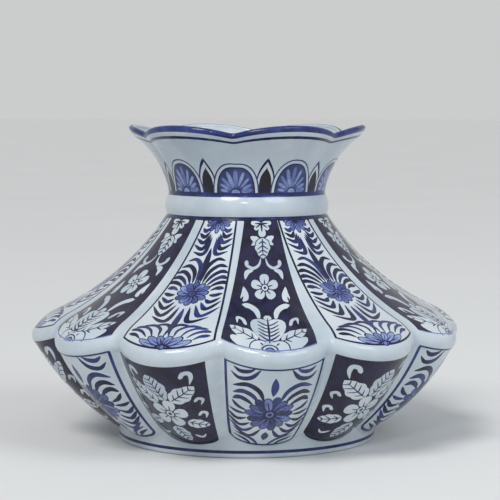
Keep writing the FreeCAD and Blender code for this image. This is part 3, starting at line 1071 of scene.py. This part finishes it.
def glazed(name, thin, middle, thick, cloud=140.0, speck=0.3):
    """A colour under glass: three tones of it, where the pigment is thin, even and thick, and over
    it a glossy surface with faint ripples and pinholes."""
    material, graph, shader = new_material(name)
    tone = graph.new("Attribute")
    tone.attribute_name = "tone"
    value = graph.maths("MULTIPLY", graph.noise(cloud, detail=3), 1 - speck)
    value = graph.maths("MULTIPLY_ADD", graph.noise(cloud * 6), speck, value)
    value = graph.maths("MULTIPLY_ADD", tone.outputs["Fac"], TONE_SPREAD, value)
    value = graph.maths("SUBTRACT", value, TONE_SPREAD / 2)
    colour = graph.ramp(value, [(0.32, thin), (0.5, middle), (0.68, thick)])
    rough = graph.maths("MULTIPLY_ADD", graph.noise(60), 0.12, GLOSS)
    height = graph.maths("MULTIPLY_ADD", graph.noise(900), 0.05, graph.noise(90, detail=1))
    bump = graph.bump(height, 0.35, 0.0004)
    graph.fill(shader, Base_Color=colour, Roughness=rough, Specular_IOR_Level=0.4, Normal=bump)
    return material


def biscuit():
    """Bare fired clay, where the vase stands in the kiln."""
    material, graph, shader = new_material("biscuit")
    grain = graph.noise(1400, detail=4)
    colour = graph.ramp(grain, [(0.35, (196, 184, 166)), (0.65, (226, 217, 202))])
    graph.fill(shader, Base_Color=colour, Roughness=MATT, Normal=graph.bump(grain, 0.5, 0.0002))
    return material


WHITE = [(180, 193, 203), (195, 206, 214), (208, 216, 221)]
PALETTE = {
    GLAZE: glazed("white_glaze", *WHITE, cloud=30.0, speck=0.15),
    INK: glazed("ink_line", (50, 62, 122), (30, 38, 84), (18, 21, 50)),
    GROUND: glazed("dark_ground", (37, 35, 68), (25, 22, 43), (18, 15, 27)),
    DEEP: glazed("deep_wash", (78, 92, 146), (54, 66, 116), (38, 47, 88)),
    WASH: glazed("blue_wash", (122, 136, 186), (86, 100, 156), (56, 68, 122)),
    PALE: glazed("pale_wash", (150, 166, 206), (120, 136, 184), (92, 108, 160)),
    EDGE: glazed("edge_blue", (60, 76, 142), (39, 51, 113), (25, 32, 82)),
    BISCUIT: biscuit(),
}


def finish_piece(name, shell, node):
    """Makes the piece, gives it the palette and lets it stand for its CAD section."""
    mesh = shell.mesh(name)
    for paint in range(len(PALETTE)):
        mesh.materials.append(PALETTE[paint])
    piece = bpy.data.objects.new(name, mesh)
    bpy.context.scene.collection.objects.link(piece)
    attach(piece, "root")
    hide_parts(node)


# ---------------------------------------------------------------------------------------------
# The sections of the vase

dice = random.Random(7)
RIB_SPREAD = 0.7  # of the panels' spread
TURNED_STEPS = 288
LOBE_CENTRE = 180 / LOBES
body_angles = ring_angles(LOBES, LOBE_CENTRE)
body_valley = valley_share(body_angles, LOBES, SOFT_BODY)
mouth_angles = ring_angles(NECK_PANELS, 0.0)
mouth_valley = valley_share(mouth_angles, MOUTH_LOBES, SOFT_MOUTH)


def chance_slips(count, spread, sink):
    """Small slips for a ring of panels, each leaning as a whole, and for the ribs between them,
    which slip less."""
    ribs = [dice.uniform(-spread, spread) * RIB_SPREAD for _ in range(count)]
    slips = []
    for _ in range(count):
        lean = dice.uniform(-spread, spread), dice.uniform(-spread, spread)
        slips.append(Slip(lean, lean, dice.uniform(0, sink)))
    return slips, ribs


def lay_ring(shell, sheets, first_centre, slips, ribs, mirrors=()):
    """Lays panels in a ring, taking the sheets in turn. Rib 0 is to the left of panel 0."""
    for index, slip in enumerate(slips):
        centre = first_centre + 360 / len(slips) * index
        beside = ribs[index], ribs[(index + 1) % len(ribs)]
        sheets[index % len(sheets)].lay(shell, centre, slip, beside, index in mirrors)


def close_inside(shell, wall, angle, sections):
    """Joins the bottom edge of a wall to its top edge, by way of the sections inside it."""
    inside = [around(flat, angle) for flat in sections]
    shell.rows([edge_row(wall, angle, 1), *inside, edge_row(wall, angle, 0)])


def round_rows(shell, wall, angle, shares, paints=GLAZE):
    """Covers a wall with rows of faces at the given shares of its length."""
    rows = [edge_row(wall, angle, share) for share in shares]
    normals = [wall.normal(angle, np.full(angle.shape, share)) for share in shares]
    shell.rows(rows, paints, normals)


def shoulder_ledge(level):
    """The inner edge of the joint between the shoulder roll and the wall above or below it."""
    return inward(shoulder_corner(body_valley, level), SHOULDER_JOINT)


def make_upper_body():
    shell = Shell()
    sheets = [
        Sheet(upper_leaves(), CONE, LOBES, upper_rib, 1),
        Sheet(upper_flowers(), CONE, LOBES, upper_rib, 2),
    ]
    slips, ribs = chance_slips(LOBES, 1.2, 0.0)
    slips[-1] = Slip((3.4, 0.4), (0.4, 2.8), 0.0)
    slips[0] = Slip((2.3, -3.8), (1.9, -5.6), 0.0)
    slips[1] = Slip((-1.0, -2.6), (-1.6, -0.4), 0.0)
    ribs[-2:] = 0.5, 0.8
    ribs[:4] = 1.5, -1.6, -2.4, -1.0
    lay_ring(shell, sheets, LOBE_CENTRE, slips, ribs)
    turn = cone_corners(body_valley)[1] - TURN_INWARD * WALL
    top = section_points(np.full(body_valley.shape, THROAT), CONE_HIGH)
    inside = arc_rows(top, turn, FLARE_RADIUS + WALL, 1, 8)
    close_inside(shell, CONE, body_angles, [shoulder_ledge(CONE_LOW), *inside[::-1]])
    finish_piece("painted_shoulder", shell, "upper_body")


def make_lower_body():
    shell = Shell()
    sheets = [
        Sheet(lower_flowers(), BOWL, LOBES, lower_rib, 3),
        Sheet(lower_leaves(), BOWL, LOBES, lower_rib, 4),
    ]
    slips, _ = chance_slips(LOBES, 1.0, 1.6)
    slips[-3] = slips[-3]._replace(sink=0.0)
    slips[-2] = Slip((-0.8, -2.4), (-1.0, -2.4), 0.6)
    slips[-1] = Slip((-2.6, -1.2), (-4.4, -4.0), 2.6)
    slips[0] = Slip((-0.8, -1.8), (-0.6, -3.8), 2.8)
    slips[1] = Slip((-0.6, -1.2), (1.6, -1.0), 1.0)
    lay_ring(shell, sheets, LOBE_CENTRE, slips, [0] * LOBES, mirrors=(1, 5, 9))
    close_inside(shell, BOWL, body_angles, bowl_underside() + bowl_inside())
    finish_piece("painted_bowl", shell, "lower_body")


def bowl_underside():
    """Sections from the bowl's bottom edge to its seat, down the foot's hollow side."""
    radius, height = BOWL.section(body_valley, 1.0).T
    hangs = height < SEAT_HIGH - 0.01
    sections = []
    for share in (0.5, 1.0):
        level = height + (SEAT_HIGH - height) * share
        sections.append(section_points(np.where(hangs, cove_radius_at(level), radius), level))
    return sections


def bowl_inside():
    """Sections up the bowl's inner arc, from the level of its seat to the shoulder."""
    toe = inward(toe_corner(body_valley), TOE_WIDTH)
    ledge = shoulder_ledge(ROLL_LOW)
    radius = BOWL_RADIUS - WALL
    heel = np.full(body_valley.shape, 0.1)  # the share of the arc at the level of the seat
    for _ in range(12):
        rise = SEAT_HIGH - arc(toe, ledge, radius, 1, heel)[:, 1]
        heel = heel + rise / (ledge - toe)[:, 1]
    shares = [heel + (1 - heel) * up for up in np.linspace(0, 1, 14)]
    return [arc(toe, ledge, radius, 1, share) for share in shares]


def make_shoulder_roll():
    shell = Shell()
    round_rows(shell, ROLL, body_angles, np.linspace(0, 1, 15))
    close_inside(shell, ROLL, body_angles, [shoulder_ledge(ROLL_LOW), shoulder_ledge(CONE_LOW)])
    finish_piece("shoulder_band", shell, "shoulder_roll")


def lathe(name, node, outline, paints):
    """A closed ring turned from an outline that starts down its outside. paints gives the colour of
    each of its sides."""
    shell = Shell()
    angle = np.arange(TURNED_STEPS) * 360 / TURNED_STEPS
    rows = [profile_row(angle, radius, height) for radius, height in outline]
    shell.rows(rows, paints, closed=True)
    finish_piece(name, shell, node)


def curve(start, end, radius, turn, steps):
    """Points of an arc between two corners, without the last."""
    first, last = np.array([start], float), np.array([end], float)
    return [tuple(row[0]) for row in arc_rows(first, last, radius, turn, steps + 1)[:-1]]


def make_collar():
    outer = NECK + COLLAR_STEP
    groove_low = (outer - COLLAR_GROOVE, COLLAR_LOW + COLLAR_GROOVE)
    groove_high = (NECK, COLLAR_HIGH - COLLAR_GROOVE)
    outline = [(NECK, COLLAR_HIGH), *curve(groove_high, groove_low, BEAD_RADIUS, -1, 18)]
    outline += [groove_low, (outer, COLLAR_LOW), (THROAT, COLLAR_LOW), (THROAT, COLLAR_HIGH)]
    paints = np.full(len(outline), GLAZE)
    paints[:2] = EDGE
    paints[-5:-3] = INK
    lathe("collar_bead", "neck_collar", outline, paints)


def make_foot():
    line_high, line_low = (FOOT, 4.15), (FOOT, 2.45)
    outline = curve((SEAT, SEAT_HIGH), (FOOT, FOOT_BAND), COVE_RADIUS, 1, 10)
    outline += [(FOOT, FOOT_BAND), line_high, line_low]
    outline += curve((FOOT, FOOT_ROUND), (FOOT - FOOT_ROUND, FOOT_LOW), FOOT_ROUND, -1, 5)
    outline += [(FOOT - FOOT_ROUND, FOOT_LOW), (FOOT_INNER, FOOT_LOW), (FOOT_INNER, FLOOR_LOW)]
    outline += [(FLOOR_RADIUS, FLOOR_LOW), (FLOOR_RADIUS, SEAT_HIGH)]
    paints = np.full(len(outline), GLAZE)
    paints[-5] = BISCUIT
    paints[outline.index(line_high)] = INK
    lathe("foot", "foot_ring", outline, paints)


def make_neck():
    shell = Shell()
    sheet = Sheet(neck_band(), NECK_WALLS, NECK_PANELS, neck_rib, 5)
    slips, _ = chance_slips(NECK_PANELS, 0.5, 0.0)
    lay_ring(shell, [sheet], 0.0, slips, [0] * NECK_PANELS)
    top = inward(neck_top_corner(mouth_valley), LIP_JOINT)
    foot = section_points(np.full(mouth_valley.shape, THROAT), COLLAR_HIGH)
    inside = arc_rows(top, foot, NECK_FLARE + NECK_WALL, 1, 16)
    close_inside(shell, NECK_WALLS, mouth_angles, inside[::-1])
    finish_piece("painted_neck", shell, "flared_neck")


def make_lip():
    shell = Shell()
    crest, brow = LIP.ends[1], LIP.ends[2]
    parts = [np.linspace(0, crest, 8), np.linspace(crest, brow, 8), np.linspace(brow, 1, 14)]
    shares = np.unique(np.concatenate(parts))
    down = (shares[:-1] + shares[1:]) / 2 * LIP.length
    blue_start, blue_end = crest * LIP.length - 0.9, brow * LIP.length + 1.9
    ink_start = LIP.length - 1.5
    paints = np.where((down > blue_start) & (down < blue_end), EDGE, GLAZE)
    paints[down > ink_start] = INK
    round_rows(shell, LIP, mouth_angles, shares, paints)
    close_inside(shell, LIP, mouth_angles, [inward(neck_top_corner(mouth_valley), LIP_JOINT)])
    finish_piece("waving_lip", shell, "mouth_lip")


# The upper body, the lower body and the neck draw from the same dice, in this order.
make_upper_body()
make_lower_body()
make_shoulder_roll()
make_collar()
make_foot()
make_neck()
make_lip()

disc_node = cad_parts["base_disc"]
disc_node.data.materials.clear()
disc_node.data.materials.append(PALETTE[GLAZE])


# ---------------------------------------------------------------------------------------------
# Floor, light and camera


def make_floor():
    bpy.ops.mesh.primitive_circle_add(vertices=96, radius=30.0, fill_type="NGON")
    floor = bpy.context.object
    floor.name = "floor"
    floor.location.z = -0.0002
    material, graph, shader = new_material("floor_paint")
    colour = graph.ramp(graph.noise(3), [(0.3, (234, 234, 232)), (0.7, (237, 237, 235))])
    graph.fill(shader, Base_Color=colour, Roughness=0.8)
    floor.data.materials.append(material)


def make_world():
    """A pale room. What is seen of it is set apart from the light that it gives."""
    world = bpy.data.worlds.new("pale_room")
    bpy.context.scene.world = world
    graph = Graph(world)
    shown = graph.nodes["Background"]
    graph.fill(shown, Color=(*linear(203, 204, 204), 1), Strength=1.0)
    lit = graph.new("Background", Color=(*linear(222, 228, 236), 1), Strength=0.42)
    rays = graph.new("LightPath").outputs
    seen = graph.maths("MAXIMUM", rays["Is Camera Ray"], rays["Is Glossy Ray"])
    seen = graph.maths("MAXIMUM", seen, rays["Is Transmission Ray"])
    mix = graph.new("MixShader", Fac=seen)
    for socket, light in zip(mix.inputs[1:], (lit, shown)):
        graph.put(socket, light.outputs["Background"])
    graph.put(graph.nodes["World Output"].inputs["Surface"], mix.outputs["Shader"])


LIGHT_TARGET = (0, 0, 0.09)  # the middle of the vase


def add_light(name, kind, place, energy, colour, **shape):
    """A light at a place, facing the vase."""
    data = bpy.data.lights.new(name, kind)
    data.energy = energy
    data.color = colour
    for key, value in shape.items():
        setattr(data, key, value)
    look = np.array(LIGHT_TARGET) - np.array(place)
    light = bpy.data.objects.new(name, data)
    light.location = place
    tilt = math.atan2(math.hypot(look[0], look[1]), -look[2])
    light.rotation_euler = (tilt, 0, math.atan2(look[1], look[0]) - math.pi / 2)
    bpy.context.scene.collection.objects.link(light)


CAMERA_AZIMUTH = 7.2
CAMERA_DISTANCE = 1.0507
CAMERA_HEIGHT = 0.18935
CAMERA_PITCH = 4.45
CAMERA_TURN = 0.0975
LENS = 131.2


def make_camera():
    data = bpy.data.cameras.new("camera")
    data.lens = LENS
    data.sensor_width = 36.0
    camera = bpy.data.objects.new("camera", data)
    turn = math.radians(CAMERA_AZIMUTH)
    camera.location = (
        CAMERA_DISTANCE * math.sin(turn),
        -CAMERA_DISTANCE * math.cos(turn),
        CAMERA_HEIGHT,
    )
    turned = math.radians(CAMERA_AZIMUTH - CAMERA_TURN)
    camera.rotation_euler = (math.radians(90 - CAMERA_PITCH), 0, turned)
    bpy.context.scene.collection.objects.link(camera)
    bpy.context.scene.camera = camera


make_floor()
make_world()
add_light("key", "SUN", (-0.7, -1.6, 2.2), 1.5, (1.0, 0.99, 0.97), angle=math.radians(22))
soft_box = {"shape": "RECTANGLE", "size": 1.1, "size_y": 1.1}
add_light("fill", "AREA", (1.5, -1.1, 1.6), 16, (0.90, 0.95, 1.0), **soft_box)
small_box = {"shape": "RECTANGLE", "size": 0.16, "size_y": 0.12}
add_light("spark", "AREA", (0.1, -1.5, 0.95), 2.0, (1.0, 1.0, 1.0), **small_box)
make_camera()
bpy.context.scene.view_settings.view_transform = "Standard"
